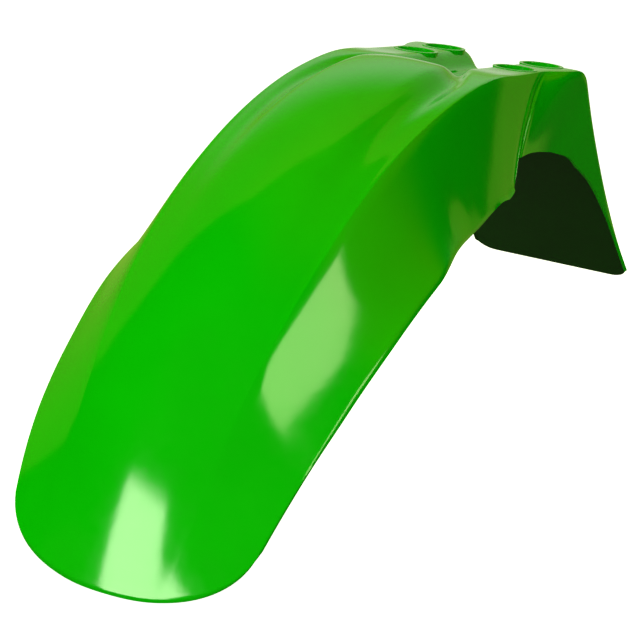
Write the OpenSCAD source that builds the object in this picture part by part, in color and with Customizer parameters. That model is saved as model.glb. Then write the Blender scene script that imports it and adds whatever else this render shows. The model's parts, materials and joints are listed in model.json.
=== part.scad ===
// Front mudguard of an off-road motorcycle, one moulded piece of polypropylene.
// Millimetres. The origin is the centre of the four bolts, level with the floors of
// their cups. +Z runs up along the bolts, -Y runs forward to the nose.

/* [Arch over the wheel] */
// Radius of the arch line that the two ridges follow
arch_r = 398; // [385:1:415]
// How far the arch runs round to the nose, in degrees
arch_angle = 80.6; // [76:0.2:83]
// Thickness of the moulded wall
wall = 2.6; // [2.2:0.1:3.2]
// Half the distance between the two ridges
ridge_half = 66; // [62:0.5:70]
// Height of the centre dome above the ridges
dome_rise = 18; // [12:1:22]

/* [Wings] */
// Half width over the wings, the widest place
wing_half = 116; // [110:1:122]
// How far the wing edge hangs below the ridges at the widest place
wing_drop = 55; // [48:1:60]
// How far the wing edge hangs at the fork notch
notch_drop = 87; // [84:1:90]
// Length of the rounded front outline
nose_round = 54; // [44:1:62]

/* [Mounting pads] */
// Bolt spacing across the mudguard
bolt_x = 84; // [80:0.5:87]
// Bolt spacing along the mudguard
bolt_y = 46; // [43:0.5:49]
// Diameter of the cup round each bolt
cup_d = 28; // [24:0.5:30]
// Depth of the cup
cup_depth = 8; // [6:0.5:9]
// Bolt hole in the floor of the cup, which takes a steel collar
hole_d = 9; // [7:0.5:12]
// Depth of the channel between the two pads
channel_depth = 13; // [11:0.5:15]

/* [Tail] */
// Length of the flat tail below the bend
tail_len = 243; // [200:1:260]
// Inside bend between the pads and the tail
tail_bend_r = 24; // [20:1:30]
// How steeply the tail falls from the bend, in degrees
tail_angle = 56; // [50:1:60]
// Half width of the tail at its lower edge
tail_half = 67; // [62:1:70]
// Radius of the tail's two lower corners
tail_corner_r = 15; // [8:1:20]

/* [Hidden] */
$fn = 48;

// Lengths along the spine: the arch, the level pads, then the tail.
pad_len = 84;
pad_front = -54;
arch_len = arch_r * arch_angle * PI / 180;
bend_len = tail_bend_r * tail_angle * PI / 180;
total_len = arch_len + pad_len + tail_len;
// Radius of the gentle reverse curve down the tail
tail_curve_r = 1000;
boss_wall = 3;
boss_r = cup_d / 2 + boss_wall;
boss_floor = 3;
rim_rise = 0.4;
// Taper of each cup's wall, in degrees
cup_draft = 9;
cup_taper = tan(cup_draft) * (cup_depth + rim_rise);
boss_h = cup_depth + boss_floor + rim_rise;
pocket_depth = 2.5;

// A station on the arch, given in degrees forward of the pads, as a length.
function deg(d) = -arch_r * d * PI / 180;
end_a = deg(arch_angle);
end_t = pad_len + tail_len;

// Smooth curve through hand-placed knots [length along the spine, value].
function slope(k, i) = (k[i + 1][1] - k[i][1]) / (k[i + 1][0] - k[i][0]);
function knot_slope(k, i) =
    i == 0 ? slope(k, 0)
    : i == len(k) - 1 ? slope(k, i - 1)
    : let (a = slope(k, i - 1), b = slope(k, i)) a * b <= 0 ? 0 : 2 * a * b / (a + b);
function span(k, s, lo, hi) =
    hi - lo <= 1 ? lo
    : let (mid = floor((lo + hi) / 2)) k[mid][0] <= s ? span(k, s, mid, hi) : span(k, s, lo, mid);
function clamp(v, lo, hi) = min(max(v, lo), hi);
function curve(k, s) =
    let (i = span(k, s, 0, len(k) - 1), h = k[i + 1][0] - k[i][0],
         t = clamp((s - k[i][0]) / h, 0, 1))
    (2 * t^3 - 3 * t^2 + 1) * k[i][1] + (t^3 - 2 * t^2 + t) * h * knot_slope(k, i)
    + (3 * t^2 - 2 * t^3) * k[i + 1][1] + (t^3 - t^2) * h * knot_slope(k, i + 1);

// Rise of the arch above the pads' level
lift = [[end_a, 4], [-60, 4], [-32, 2.5], [-12, 0.5], [0, 0], [end_t, 0]];
// Outer line of each ridge, which becomes the outer edge of the pads
ridge_out = [[end_a, ridge_half - 24], [deg(72), ridge_half - 14], [deg(60), ridge_half - 6],
    [deg(50), ridge_half], [deg(40), ridge_half + 2], [deg(20), ridge_half + 2.5],
    [deg(12), ridge_half + 1.5], [-40, 66], [-5, 64], [25, 62], [40, 61], [48, 61.5], [56, 65],
    [76, 70.5], [90, 71.5], [150, tail_half + 3], [end_t, tail_half]];
// Inner line of each ridge, which becomes the inner edge of the pads
ridge_in = [[end_a, ridge_half - 25], [deg(72), ridge_half - 15.5], [deg(60), ridge_half - 8],
    [deg(50), ridge_half - 2.5], [deg(40), ridge_half - 1], [deg(20), ridge_half - 2],
    [deg(12), ridge_half - 6], [-42, 43], [-20, 32.5], [30, 31], [87, 31], [200, 41],
    [end_t, tail_half - 17]];
// Height of the middle: a dome over the wheel that sinks into the channel
crown = [[end_a, 2], [deg(70), dome_rise / 2 - 1], [deg(55), dome_rise - 4], [deg(40), dome_rise],
    [deg(25), dome_rise - 1], [deg(12), dome_rise * 0.6], [-50, 3], [-25, 4 - channel_depth],
    [0, -channel_depth], [87, -channel_depth], [130, -6], [200, 0], [end_t, 0]];
// Depth of the soft valley between the dome and each ridge
valley = [[end_a, 0], [deg(60), 0], [deg(40), 1], [deg(25), 4], [deg(12), 8.5], [-50, 8],
    [-25, 2], [0, 0], [end_t, 0]];
// How far forward the side wall leans, so that the notch behind it slants
lean = [[end_a, 0], [-110, 0], [-40, 20], [20, 50], [38, 58], [40.5, 50], [52, 46], [62, 40],
    [87, 28], [110, 18], [130, 12], [150, 8], [214, 2], [250, 0], [end_t, 0]];
// The bead along the back of the side wall, the groove behind it and the groove's other lip
seam = [[end_a, 0], [36, 0], [39, 0.6], [41, 0.6], [43, -0.4], [47, -0.6], [49, 0.3], [53, 0],
    [end_t, 0]];
// Half width at the free edge
edge_x = [[end_a, wing_half - 32], [deg(76), wing_half - 24], [deg(65.5), wing_half - 11],
    [deg(56.5), wing_half - 4], [deg(46), wing_half], [deg(35.5), wing_half - 3.5],
    [deg(27), wing_half - 14], [deg(20), 93], [-40, 82.5], [20, 78], [38, 75.6], [40.5, 72.3],
    [50, 70.2], [62, 68.5], [87, 66.5], [110, 67.5], [150, tail_half + 1], [end_t, tail_half]];
// How far the free edge hangs below the ridge
edge_drop = [[end_a, 2], [deg(75), wing_drop * 0.22], [deg(65.5), wing_drop * 0.5],
    [deg(56.5), wing_drop * 0.75], [deg(46), wing_drop], [deg(35.5), wing_drop + 14],
    [deg(27), wing_drop + 22], [deg(20), notch_drop + 1], [-115, notch_drop + 3],
    [-90, notch_drop + 2], [-40, notch_drop - 0.5], [0, notch_drop - 2], [20, notch_drop - 3.5],
    [38, notch_drop - 6], [40.5, notch_drop - 25], [52, notch_drop - 27],
    [62, notch_drop - 28], [87, 61], [110, 67], [130, 58], [150, 43], [180, 28], [214, 16],
    [250, 7.5], [290, 4], [end_t, 3]];
// How far the wing bellies out from a straight slope, and how far it hollows at its lower half
belly = [[end_a, 0.2], [deg(66), 0.1], [deg(52), 0.05], [deg(14), 0], [end_t, 0]];
hollow = [[end_a, 0], [deg(66), 0], [deg(52), 0.3], [deg(35), 0.35], [deg(14), 0.25], [0, 0],
    [end_t, 0]];

// Point [y, z] of the spine, its outward normal and the way the sides hang from it
function spine(s) =
    s < 0 ? let (a = -s * 180 / (PI * arch_r))
        [pad_front - arch_r * sin(a), -arch_r * (1 - cos(a)), -sin(a), cos(a), sin(a), -cos(a)]
    : let (q = clamp(s - pad_len, 0, bend_len) * 180 / (PI * tail_bend_r),
           w = max(s - pad_len - bend_len, 0) * 180 / (PI * tail_curve_r),
           y = pad_front + min(s, pad_len) + tail_bend_r * sin(q)
               + tail_curve_r * (sin(tail_angle) - sin(tail_angle - w)),
           z = -tail_bend_r * (1 - cos(q)) - tail_curve_r * (cos(tail_angle - w) - cos(tail_angle)))
        [y, z, sin(q - w), cos(q - w), 0, -1];

// Half width at a column: 0 to 1 is the dome, 1 to 2 the ridge or pad, 2 to 3 the wing
function half_x(s, w) =
    w < 1 ? curve(ridge_in, s) * w
    : w < 2 ? curve(ridge_in, s) * (2 - w) + curve(ridge_out, s) * (w - 1)
    : curve(ridge_out, s) * (3 - w) + curve(edge_x, s) * (w - 2)
        + curve(seam, s) * smooth((w - 2) / 0.25);
function smooth(v) = let (u = clamp(v, 0, 1)) u * u * (3 - 2 * u);
function section(s, w) =
    w >= 1 ? 0
    : let (c = curve(crown, s), k = smooth(-c / 8))
        c * (1 - w * w) * (1 - k) + c * (1 - smooth((w - 0.5) / 0.5)) * k
        - (w > 0.5 ? curve(valley, s) * sin(180 * (w - 0.5) / 0.5)^2 : 0)
        - pocket(s, curve(ridge_in, s) * w);
// A shallow pocket in the channel's floor
function pocket(s, x) =
    pocket_depth * smooth((s - 18) / 4) * smooth((70 - s) / 4) * (1 - smooth((x - 9) / 3));

// Nose outline, tail corners, then one point of the outer skin
function nose_shift(a, w) =
    let (n = 2.6, r = clamp(half_x(45 - arch_len, w) / curve(edge_x, 45 - arch_len), 0, 1))
    nose_round * (1 - (1 - r^n)^(1 / n)) * clamp(1 - a / 200, 0, 1)^1.5;
function corner_shift(a, s, w) =
    let (o = clamp((half_x(s, w) - curve(edge_x, s)) / tail_corner_r + 1, 0, 1) * 0.93)
    tail_corner_r * (1 - sqrt(1 - o * o)) * clamp(1 - (total_len - a) / 60, 0, 1)^1.5;
function skin(a, w) =
    let (s0 = a - arch_len + nose_shift(a, w), s = s0 - corner_shift(a, s0, w),
         v = clamp(w - 2, 0, 1),
         p = spine(s - curve(lean, s) * v^0.62),
         h = section(s, w) + curve(lift, s),
         d = curve(edge_drop, s)
             * (v + curve(belly, s) * (v^2 - v) + curve(hollow, s) * (v^2 - v^3)))
    [half_x(s, w), p[0] + h * p[2] + d * p[4], p[1] + h * p[3] + d * p[5]];

// Rows run from the nose to the tail's lower edge, columns from side to side.
function run(from, to, n) = [for (i = [0 : n - 1]) from + (to - from) * i / n];
rows = concat(run(0, 70, 7), run(70, arch_len - 130, 17), run(arch_len - 130, arch_len, 12),
    run(arch_len, arch_len + 36, 4),
    [for (t = [36, 38, 40.5, 43, 47, 50, 54, 58]) arch_len + t],
    run(arch_len + 62, arch_len + pad_len + bend_len, 8),
    run(arch_len + pad_len + bend_len, total_len - 30, 9), run(total_len - 30, total_len, 3),
    [total_len]);
half_cols = concat(run(0, 1, 7), run(1, 2, 2), [for (i = [0 : 7]) 2 + sin(90 * i / 7)]);
nh = len(half_cols);
nc = 2 * nh - 1;
nr = len(rows);
function mirror_x(p, side) = [side * p[0], p[1], p[2]];

module shell() {
    half = [for (a = rows) [for (w = half_cols) skin(a, w)]];
    outer = [for (i = [0 : nr - 1]) [for (j = [0 : nc - 1])
        j < nh - 1 ? mirror_x(half[i][nh - 1 - j], -1) : half[i][j - nh + 1]]];
    // The inner skin lies one wall below the outer skin, along its normal over two rows each way.
    inner = [for (i = [0 : nr - 1]) [for (j = [0 : nc - 1])
        let (u = outer[min(i + 2, nr - 1)][j] - outer[max(i - 2, 0)][j],
             v = outer[i][min(j + 1, nc - 1)] - outer[i][max(j - 1, 0)],
             n = cross(u, v), m = n / norm(n))
        outer[i][j] + wall * m]];
    points = concat([for (row = outer) each row], [for (row = inner) each row]);
    n = nr * nc;
    polyhedron(points, concat(
        [for (i = [0 : nr - 2]) for (j = [0 : nc - 2]) let (a = i * nc + j)
            each [[a, a + nc, a + nc + 1], [a, a + nc + 1, a + 1]]],
        [for (i = [0 : nr - 2]) for (j = [0 : nc - 2]) let (a = n + i * nc + j)
            each [[a, a + nc + 1, a + nc], [a, a + 1, a + nc + 1]]],
        [for (i = [0 : nr - 2]) for (e = [0, nc - 1]) let (a = i * nc + e, b = a + nc)
            each e == 0 ? [[a, n + a, n + b], [a, n + b, b]] : [[a, b, n + b], [a, n + b, n + a]]],
        [for (j = [0 : nc - 2]) for (e = [0, nr - 1]) let (a = e * nc + j, b = a + 1)
            each e == 0 ? [[a, b, n + b], [a, n + b, n + a]] : [[a, n + a, n + b], [a, n + b, b]]]
    ));
}

// Repeats its child at the four bolts.
module at_bolts() {
    for (x = [-1, 1]) for (y = [-1, 1]) translate([x * bolt_x / 2, y * bolt_y / 2, 0]) children();
}

module mudguard() color("#14b400") translate([0, 0, cup_depth]) difference() {
    union() {
        shell();
        at_bolts() translate([0, 0, -cup_depth - boss_floor])
            cylinder(r1 = boss_r - tan(cup_draft) * boss_h, r2 = boss_r, h = boss_h);
    }
    at_bolts() translate([0, 0, -cup_depth])
        cylinder(r1 = cup_d / 2 - cup_taper, r2 = cup_d / 2, h = cup_depth + rim_rise + 0.01);
    at_bolts() translate([0, 0, -cup_depth - boss_floor - 3])
        cylinder(d = hole_d, h = boss_floor + 6);
}

mudguard();
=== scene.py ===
"""Front mudguard of an off-road motorcycle: one green polypropylene moulding on a pale floor.

The surface is drawn by curves along the arch, the mounting pads and the tail.
Curve tables are in millimetres and the finished mesh is in metres, in the part's own frame:
the origin is the centre of the four clamp bolts, +Z is up and -Y points to the nose.
"""

import json
import math

import bpy
import numpy as np
from bpy.props import FloatProperty, FloatVectorProperty, PointerProperty
from mathutils import Matrix, Vector


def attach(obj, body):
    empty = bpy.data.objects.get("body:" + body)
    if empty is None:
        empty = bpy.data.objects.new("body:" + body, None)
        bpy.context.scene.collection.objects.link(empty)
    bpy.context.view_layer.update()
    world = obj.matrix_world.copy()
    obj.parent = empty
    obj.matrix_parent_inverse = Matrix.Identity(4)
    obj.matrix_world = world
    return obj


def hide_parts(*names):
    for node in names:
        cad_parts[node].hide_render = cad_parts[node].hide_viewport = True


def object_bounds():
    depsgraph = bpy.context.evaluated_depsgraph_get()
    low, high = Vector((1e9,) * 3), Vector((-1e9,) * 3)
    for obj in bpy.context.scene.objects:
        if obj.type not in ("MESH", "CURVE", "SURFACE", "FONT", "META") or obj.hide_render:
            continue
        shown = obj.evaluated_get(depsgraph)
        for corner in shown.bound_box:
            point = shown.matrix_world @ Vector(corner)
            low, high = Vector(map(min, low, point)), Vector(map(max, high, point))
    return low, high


bl_info = {
    "name": "Motorcycle front mudguard",
    "version": (1, 0, 0),
    "blender": (4, 5, 0),
    "location": "3D View > Sidebar > Mudguard",
    "description": "Builds a moulded front mudguard with cupped bolt pads, and a plain stage",
    "category": "Object",
}

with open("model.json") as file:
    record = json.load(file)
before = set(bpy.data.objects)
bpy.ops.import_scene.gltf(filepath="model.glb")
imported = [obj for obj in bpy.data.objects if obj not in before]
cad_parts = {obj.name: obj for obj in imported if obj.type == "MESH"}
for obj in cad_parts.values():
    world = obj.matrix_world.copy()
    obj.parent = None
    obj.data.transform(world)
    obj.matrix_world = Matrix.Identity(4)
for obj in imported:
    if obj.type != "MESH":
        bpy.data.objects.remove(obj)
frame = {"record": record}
cad_box = [list(corner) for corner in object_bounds()]
bolts = next(m for m in frame["record"]["mounts"] if m["name"] == "clamp_bolts")

MM = 0.001
CONE_SIDES = 96
# Points closer together than this, in metres, count as one place.
TOUCHING = 1e-5


def linear(hex_colour):
    """Turns an sRGB hex colour into linear RGBA."""
    parts = [int(hex_colour[i:i + 2], 16) / 255 for i in (1, 3, 5)]
    return tuple(c / 12.92 if c <= 0.04045 else ((c + 0.055) / 1.055) ** 2.4 for c in parts) + (1.0,)


# Sizes and looks


class MouldingSizes(bpy.types.PropertyGroup):
    arch_radius: FloatProperty(
        name="Arch radius", description="Radius of the line that the two ridges follow",
        default=0.398, unit="LENGTH")
    arch_angle: FloatProperty(
        name="Arch angle", description="How far the arch runs round to the nose",
        default=math.radians(80.6), subtype="ANGLE")
    wall: FloatProperty(
        name="Wall", description="Thickness of the moulded wall", default=0.0026, unit="LENGTH")
    ridge_half: FloatProperty(
        name="Ridge half width", description="Half the distance between the two ridges",
        default=0.066, unit="LENGTH")
    dome_rise: FloatProperty(
        name="Dome rise", description="Height of the centre dome above the ridges",
        default=0.018, unit="LENGTH")
    wing_half: FloatProperty(
        name="Wing half width", description="Half width at the widest place",
        default=0.116, unit="LENGTH")
    wing_drop: FloatProperty(
        name="Wing drop", description="How far the wing edge hangs below the ridges",
        default=0.055, unit="LENGTH")
    notch_drop: FloatProperty(
        name="Notch drop", description="How far the edge hangs beside the fork notch",
        default=0.087, unit="LENGTH")
    nose_round: FloatProperty(
        name="Nose rounding", description="Length of the rounded front outline",
        default=0.054, unit="LENGTH")
    channel_depth: FloatProperty(
        name="Channel depth", description="Depth of the channel between the two pads",
        default=0.013, unit="LENGTH")
    tail_length: FloatProperty(
        name="Tail length", description="Length of the tail below its bend",
        default=0.243, unit="LENGTH")
    tail_angle: FloatProperty(
        name="Tail angle", description="How steeply the tail falls",
        default=math.radians(56), subtype="ANGLE")
    tail_half: FloatProperty(
        name="Tail half width", description="Half width at the tail's lower edge",
        default=0.067, unit="LENGTH")
    edge_roll: FloatProperty(
        name="Edge roll", description="How far the free edge of the wings and nose rolls under",
        default=0.0016, unit="LENGTH")
    edge_flare: FloatProperty(
        name="Edge flare", description="How far the edge in front of the fork notch turns out",
        default=0.0018, unit="LENGTH")


class CupSizes(bpy.types.PropertyGroup):
    spacing_x: FloatProperty(
        name="Bolt spacing across", description="Distance between bolts across the part",
        default=bolts["dims"]["spacing_x_mm"] * MM, unit="LENGTH")
    spacing_y: FloatProperty(
        name="Bolt spacing along", description="Distance between bolts along the part",
        default=bolts["dims"]["spacing_y_mm"] * MM, unit="LENGTH")
    hole_radius: FloatProperty(
        name="Hole radius", description="Radius of the bolt holes",
        default=bolts["dims"]["hole_r_mm"] * MM, unit="LENGTH")
    cup_radius: FloatProperty(
        name="Cup radius", description="Inside radius of each cup", default=0.014, unit="LENGTH")
    cup_depth: FloatProperty(
        name="Cup depth", description="Depth of each cup", default=0.008, unit="LENGTH")
    boss_wall: FloatProperty(
        name="Cup wall", description="Wall round each cup", default=0.003, unit="LENGTH")
    draft: FloatProperty(
        name="Draft", description="Taper of each cup's wall",
        default=math.radians(9), subtype="ANGLE")
    rim_rise: FloatProperty(
        name="Rim rise", description="How far a cup's rim stands above the pad",
        default=0.0004, unit="LENGTH")


class PlasticLook(bpy.types.PropertyGroup):
    green: FloatVectorProperty(
        name="Green", description="Colour of the polished outside", subtype="COLOR", size=4,
        default=linear("#10C800"), min=0, max=1)
    deep_green: FloatVectorProperty(
        name="Deep green", description="Slightly denser pigment between flow lines",
        subtype="COLOR", size=4, default=linear("#0AB800"), min=0, max=1)
    # The inside gets a far darker green than the plastic really has: painted shade standing in for the
    # shadow under the arch.
    inside_green_with_painted_shade: FloatVectorProperty(
        name="Inside green", description="Colour of the matt inside face", subtype="COLOR", size=4,
        default=linear("#084E08"), min=0, max=1)
    polish: FloatProperty(
        name="Roughness", description="Roughness of the polished outside", default=0.09,
        min=0, max=1)


class StageLook(bpy.types.PropertyGroup):
    floor: FloatVectorProperty(
        name="Floor", description="Colour of the plain floor", subtype="COLOR", size=4,
        default=linear("#FAFAFA"), min=0, max=1)
    azimuth: FloatProperty(
        name="Azimuth", description="Camera's turn round the part, from the nose towards +X",
        default=math.radians(30.3), subtype="ANGLE")
    elevation: FloatProperty(
        name="Elevation", description="Camera's height above the surface the part lies on",
        default=math.radians(23.8), subtype="ANGLE")
    lean: FloatProperty(
        name="Lean", description="Tilt of the bolts when the part lies on its nose and tail",
        default=math.radians(13.7), subtype="ANGLE")


# The curves of the moulding


def table_curve(knots, s):
    """Smooth curve through [length, value] knots that never swings past them."""
    x, y = np.array(knots, float).T
    h = np.diff(x)
    rise = np.diff(y) / h
    m = np.empty(len(x))
    m[0], m[-1] = rise[0], rise[-1]
    for i in range(1, len(x) - 1):
        a, b = rise[i - 1], rise[i]
        m[i] = 0 if a * b <= 0 else 2 * a * b / (a + b)
    i = np.clip(np.searchsorted(x, s, side="right") - 1, 0, len(x) - 2)
    t = np.clip((s - x[i]) / h[i], 0, 1)
    return ((2 * t**3 - 3 * t**2 + 1) * y[i] + (t**3 - 2 * t**2 + t) * h[i] * m[i]
            + (3 * t**2 - 2 * t**3) * y[i + 1] + (t**3 - t**2) * h[i] * m[i + 1])


def bell(spread):
    """Weights of a bell curve that blurs by spread samples."""
    reach = int(4 * spread) + 1
    weights = np.exp(-0.5 * (np.arange(-reach, reach + 1) / spread) ** 2)
    return weights / weights.sum()


def smooth_step(v):
    """Eases from 0 to 1 while v runs from 0 to 1."""
    u = np.clip(v, 0, 1)
    return u * u * (3 - 2 * u)


class Surface:
    """The outside of the moulding, in millimetres. z is 0 on the pads' flat tops.

    s is a length along the part, from the pads' front edge towards the tail.
    """

    pad_front = -54.0
    pad_length = 84.0
    bend_radius = 24.0
    tail_curve = 1000.0
    # The nose's outline is rounded by its half width at one place, and less further back.
    nose_measure = 45
    nose_power = 2.6
    nose_reach = 200
    # The tail's lower corners are round, and less so further up. The limit stops their curve
    # just short of its end, where it would turn straight down.
    tail_corner = 17.0
    corner_limit = 0.985
    tail_reach = 60
    # How sharply these two, and the flare beside the notch, fade out.
    fade_power = 1.5
    # How soon the wing leans forward on its way down.
    lean_power = 0.62
    # The share of the wing over which the seam's step comes in.
    seam_share = 0.25
    # A crown sunk by this much has a flat floor.
    sink_depth = 8
    # The pocket in the channel's floor: its ends along the part, half width and slopes.
    pocket_depth = 2.5
    pocket_start = 18
    pocket_end = 70
    pocket_slope = 4
    pocket_half = 9
    pocket_side = 3
    # The free edge rolls under on the wings, up to roll_end, and turns out beside the notch.
    roll_width = 4.5
    roll_end = -130
    roll_fade = 80
    flare_width = 6
    flare_start = -110
    flare_rise = 100
    flare_end = 38
    flare_fall = 3
    # A softened curve runs on past its ends with the slope of its last few millimetres.
    slope_reach = 5
    # Samples on the dome, the ridge and the wing, and to each millimetre, while rounding.
    fine_samples = (80, 50, 200)
    samples_per_mm = 2
    tiny = 1e-9

    def __init__(self, p):
        self.r = p.arch_radius / MM
        self.nose_round = p.nose_round / MM
        self.roll, self.flare = p.edge_roll / MM, p.edge_flare / MM
        self.tail_angle = p.tail_angle
        self.arch_length = self.r * p.arch_angle
        self.bend_length = self.bend_radius * p.tail_angle
        self.end = self.pad_length + p.tail_length / MM
        self.total = self.arch_length + self.end
        ridge, wing, drop = p.ridge_half / MM, p.wing_half / MM, p.wing_drop / MM
        notch, dome, deep = p.notch_drop / MM, p.dome_rise / MM, p.channel_depth / MM
        tail, end, at = p.tail_half / MM, self.end, self.at
        nose = -self.arch_length
        # Each entry holds its knots and how far the curve is softened along the part.
        # lift, crown and valley are heights. ridge_in, ridge_out and edge_x are half widths, and
        # seam is a small step in them. edge_drop is how far the wing hangs, belly and hollow bend
        # it, and lean sets it forward. softness is how far each cross-section is rounded.
        self.tables = {
            "lift": ([(nose, 2.6), (at(66), 4), (-60, 4), (-32, 2.5), (-12, 0.5), (0, 0), (end, 0)], 6),
            "ridge_out": ([
                (nose, ridge - 24), (at(72), ridge - 14), (at(60), ridge - 7), (at(50), ridge - 1.5),
                (at(40), ridge + 1.5), (at(20), ridge + 2.5), (at(12), ridge + 1.5), (-40, 66),
                (-5, 64), (25, 62), (40, 61), (48, 61.5), (56, 65), (76, 70.5), (90, 71.5),
                (150, tail + 3), (end, tail)], 5),
            "ridge_in": ([
                (nose, ridge - 25), (at(72), ridge - 15.5), (at(60), ridge - 8),
                (at(50), ridge - 4), (at(40), ridge - 2), (at(20), ridge - 2.5),
                (at(12), ridge - 6), (-42, 43), (-20, 32.5), (30, 31), (87, 31), (200, 41),
                (end, tail - 17)], 5),
            "crown": ([
                (nose, 3.4), (at(70), dome / 2 - 0.8), (at(55), dome - 4), (at(40), dome),
                (at(25), dome - 1), (at(12), dome * 0.6), (-50, 3), (-25, 4 - deep), (0, -deep),
                (87, -deep), (130, -6), (200, 0), (end, 0)], 6),
            "valley": ([
                (nose, 0), (at(60), 0), (at(40), 1), (at(25), 4), (at(12), 8.5), (-50, 8),
                (-25, 2), (0, 0), (end, 0)], 6),
            "lean": ([
                (nose, 0), (-110, 0), (-40, 20), (20, 50), (38, 58), (40.5, 50), (52, 46), (62, 40),
                (87, 28), (110, 18), (130, 12), (150, 8), (214, 2), (250, 0), (end, 0)], 1.2),
            "seam": ([
                (nose, 0), (36.5, 0), (39.5, 0.7), (41, 0.7), (42.5, -0.6), (47, -0.9),
                (48.5, 0.4), (52, 0), (end, 0)], 0.4),
            "edge_x": ([
                (nose, wing - 32), (at(76), wing - 24), (at(65.5), wing - 11),
                (at(56.5), wing - 4), (at(46), wing), (at(35.5), wing - 2.6),
                (at(27), wing - 13.5), (at(20), 93), (-40, 82.5), (20, 78), (38, 75.6), (40.5, 72.3),
                (50, 70.2), (62, 68.5), (87, 66.5), (110, 67.5), (150, tail + 1), (214, tail + 1.5),
                (end, tail + 3)], 0.8),
            "edge_drop": ([
                (nose, 5.5), (at(75), drop * 0.24), (at(65.5), drop * 0.5), (at(56.5), drop * 0.75),
                (at(46), drop - 1), (at(35.5), drop + 12.5), (at(27), drop + 22), (at(20), notch + 1),
                (-115, notch + 3), (-90, notch + 2), (-40, notch - 0.5),
                (0, notch - 2), (20, notch - 3.5), (38, notch - 6), (40.5, notch - 25),
                (52, notch - 27), (62, notch - 28), (87, 61.5), (110, 66.5), (130, 56.7), (150, 43.8),
                (180, 28), (214, 16), (250, 7.5), (290, 4), (end, 3)], 0.8),
            "belly": ([(nose, 0.2), (at(66), 0.1), (at(52), 0.05), (at(14), 0), (end, 0)], 8),
            "hollow": ([(nose, 0), (at(66), 0), (at(52), 0.3), (at(35), 0.34), (at(25), 0.22),
                        (at(14), 0.12), (0, 0), (end, 0)], 8),
            "softness": ([(nose, 5), (at(64), 2.6), (at(50), 1.8), (at(20), 2), (-50, 2.2),
                          (end, 2.2)], 8),
        }

    def at(self, degrees):
        """A place on the arch, in degrees forward of the pads, as a length."""
        return -self.r * math.radians(degrees)

    def value(self, name, s):
        """A table's curve, softened along the part so that reflections run smoothly over it."""
        knots, spread = self.tables[name]
        reach = self.slope_reach
        fine = np.arange(-self.arch_length - reach, self.end + (reach + 1), 1.0)
        v = table_curve(knots, fine)
        weights = bell(spread)
        n = np.arange(1, len(weights) // 2 + 1)
        before = v[0] - (v[reach] - v[0]) / reach * n[::-1]
        after = v[-1] + (v[-1] - v[-1 - reach]) / reach * n
        blurred = np.convolve(np.concatenate([before, v, after]), weights, "valid")
        return np.interp(s, fine, blurred)

    def spine(self, s):
        """y and z of the centre line, its outward normal, and the way the sides hang."""
        a = np.clip(-s, 0, None) / self.r
        q = np.clip(s - self.pad_length, 0, self.bend_length) / self.bend_radius
        w = np.clip(s - self.pad_length - self.bend_length, 0, None) / self.tail_curve
        t = self.tail_angle
        y = (self.pad_front - self.r * np.sin(a) + np.clip(s, 0, self.pad_length)
             + self.bend_radius * np.sin(q) + self.tail_curve * (math.sin(t) - np.sin(t - w)))
        z = (-self.r * (1 - np.cos(a)) - self.bend_radius * (1 - np.cos(q))
             - self.tail_curve * (np.cos(t - w) - math.cos(t)))
        front = s < 0
        normal = np.stack([np.where(front, -np.sin(a), np.sin(q - w)),
                           np.where(front, np.cos(a), np.cos(q - w))], -1)
        return y, z, normal, np.where(front[..., None], -normal, np.array([0.0, -1.0]))

    def half_width(self, s, w):
        """Half width at a column: 0 to 1 is the dome, 1 to 2 the ridge or pad, 2 to 3 the wing."""
        inner, outer, edge = (self.value(n, s) for n in ("ridge_in", "ridge_out", "edge_x"))
        x = np.where(w < 1, inner * w, np.where(
            w < 2, inner * (2 - w) + outer * (w - 1), outer * (3 - w) + edge * (w - 2)
            + self.value("seam", s) * smooth_step((w - 2) / self.seam_share)))
        return x, edge

    def half(self, rows, columns):
        """Points of one half, from the centre line out to the free edge."""
        a = np.asarray(rows)[:, None] + np.zeros((1, len(columns)))
        w = np.asarray(columns)[None] + np.zeros((len(rows), 1))
        x, edge = self.half_width(np.full_like(a, self.nose_measure - self.arch_length), w)
        r = np.clip(x / edge, 0, 1)
        outline = 1 - (1 - r**self.nose_power) ** (1 / self.nose_power)
        s = (a - self.arch_length + self.nose_round * outline
             * np.clip(1 - a / self.nose_reach, 0, 1) ** self.fade_power)
        x, edge = self.half_width(s, w)
        o = np.clip((x - edge) / self.tail_corner + 1, 0, 1) * self.corner_limit
        s = s - (self.tail_corner * (1 - np.sqrt(1 - o * o))
                 * np.clip(1 - (self.total - a) / self.tail_reach, 0, 1) ** self.fade_power)
        x, edge = self.half_width(s, w)
        v = np.clip(w - 2, 0, 1)
        y, z, normal, hang = self.spine(s - self.value("lean", s) * v**self.lean_power)
        crown, inside = self.value("crown", s), np.clip(w, 0, 1)
        sunk = smooth_step(-crown / self.sink_depth)
        h = (crown * (1 - inside**2) * (1 - sunk)
             + crown * (1 - smooth_step((inside - 0.5) / 0.5)) * sunk)
        h -= self.value("valley", s) * np.sin(np.pi * np.clip(2 * inside - 1, 0, 1)) ** 2
        h += self.value("lift", s)
        h -= (self.pocket_depth * smooth_step((s - self.pocket_start) / self.pocket_slope)
              * smooth_step((self.pocket_end - s) / self.pocket_slope)
              * (1 - smooth_step((x - self.pocket_half) / self.pocket_side)))
        d = self.value("edge_drop", s) * (v + self.value("belly", s) * (v * v - v)
                                          + self.value("hollow", s) * (v * v - v**3))
        return np.stack([x, y + h * normal[..., 0] + d * hang[..., 0],
                         z + h * normal[..., 1] + d * hang[..., 1]], -1)

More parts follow.
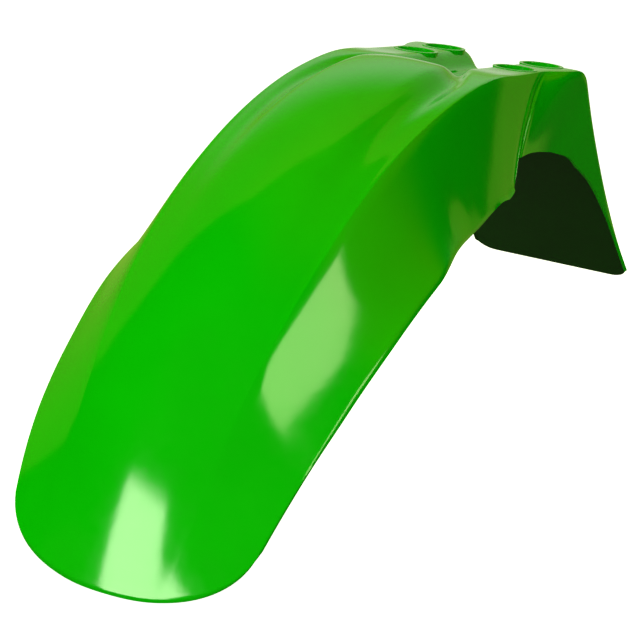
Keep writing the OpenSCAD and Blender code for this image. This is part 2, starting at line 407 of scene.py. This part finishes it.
    def rounded(self, rows, columns):
        """The half surface with every cross-section rounded by its softness in millimetres."""
        dome, ridge, wing = self.fine_samples
        fine = np.concatenate([np.linspace(0, 1, dome)[:-1], np.linspace(1, 2, ridge)[:-1],
                               np.linspace(2, 3, wing)])
        out = np.empty((len(rows), len(columns), 3))
        softness = self.value("softness", np.asarray(rows) - self.arch_length)
        for i, half in enumerate(self.half(rows, fine)):
            full = np.concatenate([half[:0:-1] * [-1, 1, 1], half])
            run = np.concatenate([[0], np.cumsum(np.linalg.norm(np.diff(full, axis=0), axis=1))])
            u = np.linspace(0, run[-1], int(run[-1] * self.samples_per_mm))
            f = np.stack([np.interp(u, run, full[:, k]) for k in range(3)], -1)
            weights = bell(softness[i] * (len(u) - 1) / run[-1])
            n = len(weights) // 2
            f = np.concatenate([2 * f[0] - f[n:0:-1], f, 2 * f[-1] - f[-2:-n - 2:-1]])
            f = np.stack([np.convolve(f[:, k], weights, "valid") for k in range(3)], -1)
            along = run[len(half) - 1:]
            where = np.interp(columns, fine, along)
            out[i] = np.stack([np.interp(where, u, f[:, k]) for k in range(3)], -1)
        out[:, 0, 0] = 0
        return out

    def edged(self, rows, columns):
        """The rounded half surface with its free edge rolled under, or flared by the notch."""
        p = self.rounded(rows, columns)
        across, down = np.gradient(p, axis=1), np.gradient(p, axis=0)
        n = np.cross(across, -down)
        n /= np.linalg.norm(n, axis=-1, keepdims=True) + self.tiny
        n *= np.sign(n[:, :1, 2:3] + self.tiny)
        step = np.linalg.norm(np.diff(p, axis=1), axis=-1)
        left = np.concatenate([np.cumsum(step[:, ::-1], axis=1)[:, ::-1],
                               np.zeros((len(rows), 1))], axis=1)
        s = np.asarray(rows)[:, None] - self.arch_length
        by_notch = (smooth_step((s - self.flare_start) / self.flare_rise)
                    * smooth_step((self.flare_end - s) / self.flare_fall))
        on_wing = 1 - smooth_step((s - self.roll_end) / self.roll_fade)
        roll = self.roll * np.clip(1 - left / self.roll_width, 0, 1) ** 2 * on_wing
        flare = (self.flare * np.clip(1 - left / self.flare_width, 0, 1) ** self.fade_power
                 * by_notch)
        # The nose's front edge rolls under too.
        front = np.asarray(rows)[:, None] + np.zeros((1, len(columns)))
        roll = np.maximum(roll, self.roll * np.clip(1 - front / self.roll_width, 0, 1) ** 2)
        return p + n * (flare - roll)[..., None]


def column_stops(dome=23, ridge=12, wing=27, dome_power=1.15, eased=0.8, even=0.2):
    """Column places, from the centre line to the free edge, where they crowd together."""
    along = np.linspace(0, 1, wing)[1:]
    return np.concatenate([
        1 - (1 - np.linspace(0, 1, dome)) ** dome_power, np.linspace(1, 2, ridge)[1:],
        2 + eased * np.sin(np.pi / 2 * along) + even * along])


def row_stops(surface, lip=8, nose=60, end_rows=16):
    """Row places, from the nose to the tail, which crowd together where the form turns."""
    pads = surface.arch_length
    notch, seam, seam_end = pads - 110, pads + 36, pads + 56
    tail = pads + surface.pad_length + surface.bend_length + 6
    corner = surface.total - 30
    # Each run has its start, its end and its number of rows.
    runs = [(0, lip, 10), (lip, nose, 22), (nose, notch, 110), (notch, seam, 52),
            (seam, seam_end, 40), (seam_end, tail, 32), (tail, corner, 40)]
    stops = [np.linspace(a, b, n + 1)[:-1] for a, b, n in runs]
    return np.concatenate(stops + [np.linspace(corner, surface.total, end_rows)])


# Small modelling helpers


def only(obj):
    """Makes obj the only selected and active object."""
    bpy.ops.object.select_all(action="DESELECT")
    obj.select_set(True)
    bpy.context.view_layer.objects.active = obj


def finish_modifier(obj, kind, **settings):
    """Adds a modifier with these settings and applies it."""
    only(obj)
    modifier = obj.modifiers.new(kind.title(), kind)
    for key, value in settings.items():
        setattr(modifier, key, value)
    bpy.ops.object.modifier_apply(modifier=modifier.name)


def select_edges(obj, test):
    """Selects the edges whose two ends both pass the test, enters edit mode and counts them."""
    only(obj)
    bpy.ops.object.mode_set(mode="EDIT")
    bpy.ops.mesh.select_mode(type="EDGE")
    bpy.ops.mesh.select_all(action="DESELECT")
    bpy.ops.object.mode_set(mode="OBJECT")
    mesh = obj.data
    co = np.empty(len(mesh.vertices) * 3)
    mesh.vertices.foreach_get("co", co)
    passed = test(co.reshape(-1, 3))
    ends = np.empty(len(mesh.edges) * 2, int)
    mesh.edges.foreach_get("vertices", ends)
    chosen = passed[ends].reshape(-1, 2).all(axis=1)
    mesh.edges.foreach_set("select", chosen)
    bpy.ops.object.mode_set(mode="EDIT")
    return int(chosen.sum())


def cones(name, centres, bottom, top, low, high, bevel):
    """One mesh of equal upright cones cut flat, with the lower end's edge rounded."""
    made = []
    for x, y in centres:
        bpy.ops.mesh.primitive_cone_add(
            vertices=CONE_SIDES, radius1=bottom, radius2=top, depth=high - low,
            location=(x, y, (low + high) / 2))
        made.append(bpy.context.active_object)
    bpy.ops.object.select_all(action="DESELECT")
    for obj in made:
        obj.select_set(True)
    bpy.context.view_layer.objects.active = made[0]
    bpy.ops.object.join()
    obj = bpy.context.active_object
    bpy.ops.object.transform_apply(location=True, rotation=True, scale=True)
    obj.name = name
    if bevel:
        select_edges(obj, lambda co: co[:, 2] < low + TOUCHING)
        bpy.ops.mesh.bevel(offset=bevel, segments=4, affect="EDGES")
        bpy.ops.object.mode_set(mode="OBJECT")
    return obj


def bolt_centres(cups):
    """The four bolts' places across and along the part."""
    return [(x * cups.spacing_x / 2, y * cups.spacing_y / 2) for x in (-1, 1) for y in (-1, 1)]


def near_bolt(co, cups, radius, slack):
    """True for points at that radius from one of the bolts."""
    hit = np.zeros(len(co), bool)
    for x, y in bolt_centres(cups):
        hit |= np.abs(np.hypot(co[:, 0] - x, co[:, 1] - y) - radius) < slack
    return hit


def node(tree, kind, inputs=None, **settings):
    """Adds a node, sets its properties, then sets or links its inputs."""
    made = tree.nodes.new(kind)
    for key, value in settings.items():
        setattr(made, key, value)
    for key, value in (inputs or {}).items():
        if isinstance(value, bpy.types.NodeSocket):
            tree.links.new(value, made.inputs[key])
        else:
            made.inputs[key].default_value = value
    return made


def blank_material(name):
    """A new material with no nodes yet, and its node tree."""
    material = bpy.data.materials.new(name)
    material.use_nodes = True
    material.node_tree.nodes.clear()
    return material, material.node_tree


# Operators


class MUDGUARD_OT_moulding(bpy.types.Operator):
    """Makes the moulded shell with its rolled edges"""

    bl_idname = "mudguard.moulding"
    bl_label = "Moulded shell"

    sharp_angle = math.radians(55)
    edge_break = 0.0008

    def execute(self, context):
        sizes, cups = context.scene.mudguard_sizes, context.scene.mudguard_cups
        surface = Surface(sizes)
        rows, columns = row_stops(surface), column_stops()
        half = surface.edged(rows, columns)
        points = np.concatenate([half[:, :0:-1] * [-1, 1, 1], half], axis=1)
        points[..., 2] += cups.cup_depth / MM
        # The surface follows curves that edit-mode tools can't follow, so the grid's
        # points are placed by those curves.
        bpy.ops.object.select_all(action="DESELECT")
        bpy.ops.mesh.primitive_grid_add(
            x_subdivisions=points.shape[1] - 1, y_subdivisions=points.shape[0] - 1, size=1)
        shell = context.active_object
        shell.name = "mudguard_shell"
        shell.data.vertices.foreach_set("co", (points.reshape(-1, 3) * MM).ravel())
        shell.data.update()
        middle = shell.data.polygons[len(shell.data.polygons) // 2]
        if middle.normal.z < 0:
            bpy.ops.object.mode_set(mode="EDIT")
            bpy.ops.mesh.select_all(action="SELECT")
            bpy.ops.mesh.flip_normals()
            bpy.ops.object.mode_set(mode="OBJECT")
        for material in ("outside", "inside"):
            shell.data.materials.append(bpy.data.materials.new(material))
        finish_modifier(shell, "SOLIDIFY", thickness=sizes.wall, offset=-1, use_rim=True,
                        use_quality_normals=True, material_offset=1)
        # The moulding's free edge is slightly rounded, as a flash-trimmed edge is.
        only(shell)
        bpy.ops.object.mode_set(mode="EDIT")
        bpy.ops.mesh.select_mode(type="EDGE")
        bpy.ops.mesh.select_all(action="DESELECT")
        bpy.ops.mesh.edges_select_sharp(sharpness=self.sharp_angle)
        bpy.ops.mesh.bevel(offset=self.edge_break, segments=3, affect="EDGES", clamp_overlap=True)
        bpy.ops.object.mode_set(mode="OBJECT")
        return {"FINISHED"}


class MUDGUARD_OT_cups(bpy.types.Operator):
    """Adds the four cups and bolt holes to the pads"""

    bl_idname = "mudguard.cups"
    bl_label = "Bolt cups"

    corner_round = 0.001
    rim_round = 0.0007
    boss_round = 0.0003
    # The cutting tools run past the faces that they cut.
    cup_tool_top = 0.03
    hole_tool_end = 0.02
    # Faces lower than this, under a boss, are underside, and so are those below a cup's floor.
    underside = 0.0035
    below_cup = -0.0005
    boss_margin = 2e-4
    cup_margin = 1e-4
    smooth_angle = math.radians(38)

    def execute(self, context):
        cups = context.scene.mudguard_cups
        shell = bpy.data.objects["mudguard_shell"]
        centres, top = bolt_centres(cups), cups.cup_depth + cups.rim_rise
        outer = cups.cup_radius + cups.boss_wall
        draft = math.tan(cups.draft)
        floor = -cups.boss_wall
        boss = cones("boss", centres, outer - draft * (top - floor), outer, floor, top,
                     self.corner_round)
        for material in shell.data.materials:
            boss.data.materials.append(material)
        for face in boss.data.polygons:
            face.material_index = 0
        tools = [
            (boss, "UNION"),
            (cones("cup", centres, cups.cup_radius - draft * top,
                   cups.cup_radius + draft * (self.cup_tool_top - top), 0.0,
                   self.cup_tool_top, self.corner_round), "DIFFERENCE"),
            (cones("hole", centres, cups.hole_radius, cups.hole_radius, -self.hole_tool_end,
                   self.hole_tool_end, 0), "DIFFERENCE"),
        ]
        for tool, operation in tools:
            if operation == "DIFFERENCE":
                tool.data.materials.append(shell.data.materials[0])
            finish_modifier(shell, "BOOLEAN", object=tool, operation=operation, solver="EXACT")
            bpy.data.objects.remove(tool, do_unlink=True)
        # The inner and outer edges of the cups' rims are rounded.
        slack = 2 * TOUCHING
        for radius, offset in ((cups.cup_radius, self.rim_round), (outer, self.boss_round)):
            count = select_edges(shell, lambda co: near_bolt(co, cups, radius, slack)
                                 & (np.abs(co[:, 2] - top) < slack))
            if count:
                bpy.ops.mesh.bevel(offset=offset, segments=3, affect="EDGES")
            bpy.ops.object.mode_set(mode="OBJECT")
        # The undersides of the bosses are inside faces.
        mesh = shell.data
        for face in mesh.polygons:
            middle = np.array([face.center[:]])
            height = face.center.z
            if height < self.underside and near_bolt(middle, cups, 0, outer + self.boss_margin)[0]:
                in_cup = near_bolt(middle, cups, 0, cups.cup_radius + self.cup_margin)[0]
                if not in_cup or height < self.below_cup:
                    face.material_index = 1
        only(shell)
        bpy.ops.object.shade_smooth_by_angle(angle=self.smooth_angle)
        finish_modifier(shell, "WEIGHTED_NORMAL", keep_sharp=True, weight=50)
        shell.name = "mudguard_moulding"
        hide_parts("mudguard")
        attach(shell, "root")
        return {"FINISHED"}


class MUDGUARD_OT_plastic(bpy.types.Operator):
    """Gives the moulding its polished outside and matt inside"""

    bl_idname = "mudguard.plastic"
    bl_label = "Green polypropylene"

    def execute(self, context):
        look = context.scene.mudguard_look
        shell = bpy.data.objects["mudguard_moulding"]
        shell.data.materials[0] = self.outside(look)
        shell.data.materials[1] = self.inside(look)
        return {"FINISHED"}

    def outside(self, look):
        """Injection-moulded polypropylene from a polished tool: a clear, slightly wavy gloss."""
        material, tree = blank_material("Gloss moulded polypropylene")
        place = node(tree, "ShaderNodeTexCoord").outputs["Object"]
        # Pigment drifts over about 60 mm along the flow of the plastic.
        drift = node(tree, "ShaderNodeTexNoise", {"Vector": place, "Scale": 1 / 0.06,
                                                  "Detail": 3.0, "Roughness": 0.5})
        colour = node(tree, "ShaderNodeMix", {"Factor": drift.outputs["Fac"], "A": look.green,
                                              "B": look.deep_green}, data_type="RGBA")
        # Handling scuffs, the longest about 9 mm, dull the gloss a little.
        scuff = node(tree, "ShaderNodeTexNoise", {"Vector": place, "Scale": 1 / 0.009,
                                                  "Detail": 6.0, "Roughness": 0.65})
        rough = node(tree, "ShaderNodeMapRange", {
            "Value": scuff.outputs["Fac"], "From Min": 0.35, "From Max": 0.75,
            "To Min": look.polish, "To Max": look.polish + 0.05})
        # Orange peel: waves about 7 mm apart and a few hundredths of a millimetre high.
        peel = node(tree, "ShaderNodeTexNoise", {"Vector": place, "Scale": 1 / 0.007,
                                                 "Detail": 1.0})
        bump = node(tree, "ShaderNodeBump", {"Height": peel.outputs["Fac"], "Strength": 0.12,
                                             "Distance": 0.0002})
        shader = node(tree, "ShaderNodeBsdfPrincipled", {
            "Base Color": colour.outputs[2], "Roughness": rough.outputs["Result"],
            "Normal": bump.outputs["Normal"], "IOR": 1.49})
        node(tree, "ShaderNodeOutputMaterial", {"Surface": shader.outputs["BSDF"]})
        return material

    def inside(self, look):
        """The same plastic off the core side of the tool, which is left matt and marks easily. Its
        green is painted far darker than the outside's, as painted shade for the shadowed underside.
        """
        material, tree = blank_material("Matt moulded polypropylene, inside face with painted shade")
        place = node(tree, "ShaderNodeTexCoord").outputs["Object"]
        # Tool marks about 2.5 mm apart.
        grain = node(tree, "ShaderNodeTexNoise", {"Vector": place, "Scale": 1 / 0.0025,
                                                  "Detail": 4.0})
        rough = node(tree, "ShaderNodeMapRange", {
            "Value": grain.outputs["Fac"], "To Min": 0.38, "To Max": 0.55})
        # The colour darkens in patches about 50 mm across.
        patches = node(tree, "ShaderNodeTexNoise", {"Vector": place, "Scale": 1 / 0.05,
                                                 "Detail": 3.0})
        colour = node(tree, "ShaderNodeMix", {
            "Factor": patches.outputs["Fac"], "A": look.inside_green_with_painted_shade,
            "B": tuple(c * 0.6 for c in look.inside_green_with_painted_shade[:3]) + (1.0,)}, data_type="RGBA")
        bump = node(tree, "ShaderNodeBump", {"Height": grain.outputs["Fac"], "Strength": 0.15,
                                             "Distance": 0.0002})
        shader = node(tree, "ShaderNodeBsdfPrincipled", {
            "Base Color": colour.outputs[2], "Roughness": rough.outputs["Result"],
            "Normal": bump.outputs["Normal"], "IOR": 1.49})
        node(tree, "ShaderNodeOutputMaterial", {"Surface": shader.outputs["BSDF"]})
        return material


class MUDGUARD_OT_stage(bpy.types.Operator):
    """Makes the floor, the soft boxes and the camera"""

    bl_idname = "mudguard.stage"
    bl_label = "Stage"

    floor_size = 60
    floor_gap = 0.0005
    # Where the camera stands from the nose's tip, in metres: beside, above and back from it.
    camera_beside = 0.1383
    camera_above = 0.1791
    camera_back = 1.959
    # The part lies with its pads this far behind the nose's tip and above it.
    pads_behind = 0.5129
    pads_above = 0.2182
    lens = 168.75
    sensor_width = 36
    clip_end = 100

    def execute(self, context):
        look = context.scene.mudguard_stage
        self.floor(look)
        self.lights()
        self.camera(look)
        context.scene.view_settings.view_transform = "Standard"
        return {"FINISHED"}

    def floor(self, look):
        bpy.ops.object.select_all(action="DESELECT")
        bpy.ops.mesh.primitive_plane_add(size=self.floor_size,
                                         location=(0, 0, cad_box[0][2] - self.floor_gap))
        floor = bpy.context.active_object
        floor.name = "floor"
        material, tree = blank_material("Pale seamless paper")
        shader = node(tree, "ShaderNodeBsdfPrincipled", {
            "Base Color": look.floor, "Roughness": 0.9, "Specular IOR Level": 0.0,
            "Emission Color": look.floor, "Emission Strength": 1.1})
        node(tree, "ShaderNodeOutputMaterial", {"Surface": shader.outputs["BSDF"]})
        floor.data.materials.append(material)
        # The paper is lit for the camera only, as on a cut-out: it throws no light on the part.
        floor.visible_diffuse = False
        floor.visible_glossy = False
        floor.visible_shadow = False

    def soft_box(self, name, azimuth, elevation, wide, high, colour, gloss=True, edge=0.06,
                 distance=2.5, aim=(0, -0.2, -0.1), roll=0):
        """An area light seen from aim under the given angles, all in degrees."""
        a, e = math.radians(azimuth), math.radians(elevation)
        toward = Vector((math.sin(a) * math.cos(e), -math.cos(a) * math.cos(e), math.sin(e)))
        turn = toward.to_track_quat("Z", "Y").to_matrix() @ Matrix.Rotation(
            math.radians(roll), 3, "Z")
        return self.area_light(
            name, Vector(aim) + toward * distance, turn,
            2 * distance * math.tan(math.radians(wide / 2)),
            2 * distance * math.tan(math.radians(high / 2)), colour, colour, gloss, edge)

    def area_light(self, name, place, turn, wide, high, low_colour, high_colour, gloss, edge):
        """A cloth-fronted light that fades at its edges and from its lower to its upper end."""
        bpy.ops.object.light_add(type="AREA", location=place)
        light = bpy.context.active_object
        light.name = name
        light.rotation_euler = turn.to_euler()
        light.data.shape = "RECTANGLE"
        light.data.size, light.data.size_y = wide, high
        # With this energy the cloth's radiance is the colour that the nodes give.
        light.data.energy = math.pi * wide * high
        light.data.use_nodes = True
        tree = light.data.node_tree
        tree.nodes.clear()
        spot = node(tree, "ShaderNodeSeparateXYZ", {
            "Vector": node(tree, "ShaderNodeNewGeometry").outputs["Parametric"]}).outputs
        fade = 1.0
        for axis in ("X", "Y"):
            middle = node(tree, "ShaderNodeMath", {0: spot[axis], 1: 0.5},
                          operation="SUBTRACT")
            out = node(tree, "ShaderNodeMath", {0: middle.outputs[0]}, operation="ABSOLUTE")
            ramp = node(tree, "ShaderNodeMapRange", {
                "Value": out.outputs[0], "From Min": 0.5, "From Max": 0.5 - edge},
                interpolation_type="SMOOTHSTEP")
            fade = node(tree, "ShaderNodeMath", {0: ramp.outputs["Result"], 1: fade},
                        operation="MULTIPLY").outputs[0]
        blend = node(tree, "ShaderNodeMix", {
            "Factor": spot["Y"], "A": tuple(low_colour) + (1.0,),
            "B": tuple(high_colour) + (1.0,)}, data_type="RGBA")
        shader = node(tree, "ShaderNodeEmission", {"Color": blend.outputs[2], "Strength": fade})
        node(tree, "ShaderNodeOutputLight", {"Surface": shader.outputs["Emission"]})
        light.visible_camera = False
        light.visible_glossy = gloss
        return light

    def lights(self):
        """The boxes that the gloss mirrors, a wall behind the part, glows and fills."""
        side = self.soft_box("side_box", azimuth=76, elevation=33.2, wide=45, high=11.8,
                             colour=(5.9, 7.2, 3.3), aim=(0.09, -0.3, -0.12))
        nose = self.soft_box("nose_box", azimuth=-20.5, elevation=-9, wide=27, high=51,
                             colour=(11.3, 14.0, 8.7), edge=0.12, distance=3,
                             aim=(0, -0.44, -0.28), roll=-3)
        for box in (side, nose):
            box.visible_diffuse = False
        # An upright wall behind the part, from under the floor up, green below and yellow above.
        behind = math.radians(-140)
        toward = Vector((math.sin(behind), -math.cos(behind), 0))
        self.area_light("back_wall", place=toward * 1.7 + Vector((0, -0.2, 3.2)),
                        turn=toward.to_track_quat("Z", "Y").to_matrix(), wide=6.4, high=8,
                        low_colour=(0.22, 0.42, 0.03), high_colour=(0.5, 0.5, 0.05),
                        gloss=True, edge=0.04)
        self.soft_box("back_glow", azimuth=-160, elevation=31, wide=90, high=48,
                      colour=(0.45, 0.4, 0.5), edge=0.5)
        self.soft_box("low_glow", azimuth=-155, elevation=5, wide=40, high=18,
                      colour=(0.42, 0.33, 0.5), edge=0.5)
        self.soft_box("warm_side", azimuth=118, elevation=43, wide=68, high=56,
                      colour=(0.33, 0.15, 0), edge=0.3)
        self.soft_box("warm_top", azimuth=150, elevation=85, wide=75, high=75,
                      colour=(0.2, 0.08, 0), edge=0.4)
        self.soft_box("front_fill", azimuth=3, elevation=22, wide=70, high=60,
                      colour=(0.6, 2.3, 0.3), gloss=False)
        # The paper throws a little light back up, from a light just under the floor.
        paper = (0.035, 0.04, 0.015)
        self.area_light("paper_bounce", place=Vector((0, 0, -0.33)),
                        turn=Matrix.Rotation(math.pi, 3, "X"), wide=8, high=8,
                        low_colour=paper, high_colour=paper, gloss=True, edge=0.1)
        world = bpy.data.worlds.new("Dim studio")
        bpy.context.scene.world = world
        world.use_nodes = True
        background = world.node_tree.nodes["Background"]
        background.inputs["Color"].default_value = (1, 0.95, 0.4, 1)
        background.inputs["Strength"].default_value = 0.19
        world.cycles_visibility.glossy = False

    def camera(self, look):
        """A long lens about 2 m away, upright to the surface on which the part lies."""
        a, e, t = look.azimuth, look.elevation, look.lean
        right = Vector((math.cos(a), math.sin(a), 0))
        ahead = Vector((-math.sin(a) * math.cos(e), math.cos(a) * math.cos(e), -math.sin(e)))
        up = right.cross(ahead)
        place = (self.camera_beside * right + self.camera_above * up
                 - self.camera_back * ahead)
        turn = Matrix.Rotation(t, 4, "X")
        place = turn @ (place - Vector((0, self.pads_behind, self.pads_above)))
        place.z += bpy.context.scene.mudguard_cups.cup_depth
        right, up, ahead = (turn @ v for v in (right, up, ahead))
        bpy.ops.object.camera_add(location=place)
        camera = bpy.context.active_object
        camera.name = "photo_camera"
        camera.matrix_world = Matrix.Translation(place) @ Matrix(
            (right, up, -ahead)).transposed().to_4x4()
        camera.data.sensor_width = self.sensor_width
        camera.data.lens = self.lens
        camera.data.clip_end = self.clip_end
        bpy.context.scene.camera = camera


class MUDGUARD_PT_panel(bpy.types.Panel):
    bl_label = "Mudguard"
    bl_space_type = "VIEW_3D"
    bl_region_type = "UI"
    bl_category = "Mudguard"

    def draw(self, context):
        for group in ("mudguard_sizes", "mudguard_cups", "mudguard_look", "mudguard_stage"):
            box = self.layout.box()
            values = getattr(context.scene, group)
            for name in values.__annotations__:
                box.prop(values, name)
        for operator in OPERATORS:
            self.layout.operator(operator.bl_idname)


GROUPS = {"mudguard_sizes": MouldingSizes, "mudguard_cups": CupSizes,
          "mudguard_look": PlasticLook, "mudguard_stage": StageLook}
OPERATORS = [MUDGUARD_OT_moulding, MUDGUARD_OT_cups, MUDGUARD_OT_plastic, MUDGUARD_OT_stage]


def register():
    for cls in [*GROUPS.values(), *OPERATORS, MUDGUARD_PT_panel]:
        bpy.utils.register_class(cls)
    for name, group in GROUPS.items():
        setattr(bpy.types.Scene, name, PointerProperty(type=group))


def unregister():
    for name in GROUPS:
        delattr(bpy.types.Scene, name)
    for cls in reversed([*GROUPS.values(), *OPERATORS, MUDGUARD_PT_panel]):
        bpy.utils.unregister_class(cls)


def main():
    """Builds everything in order."""
    register()
    bpy.ops.mudguard.moulding()
    bpy.ops.mudguard.cups()
    bpy.ops.mudguard.plastic()
    bpy.ops.mudguard.stage()


if __name__ == "__main__":
    main()
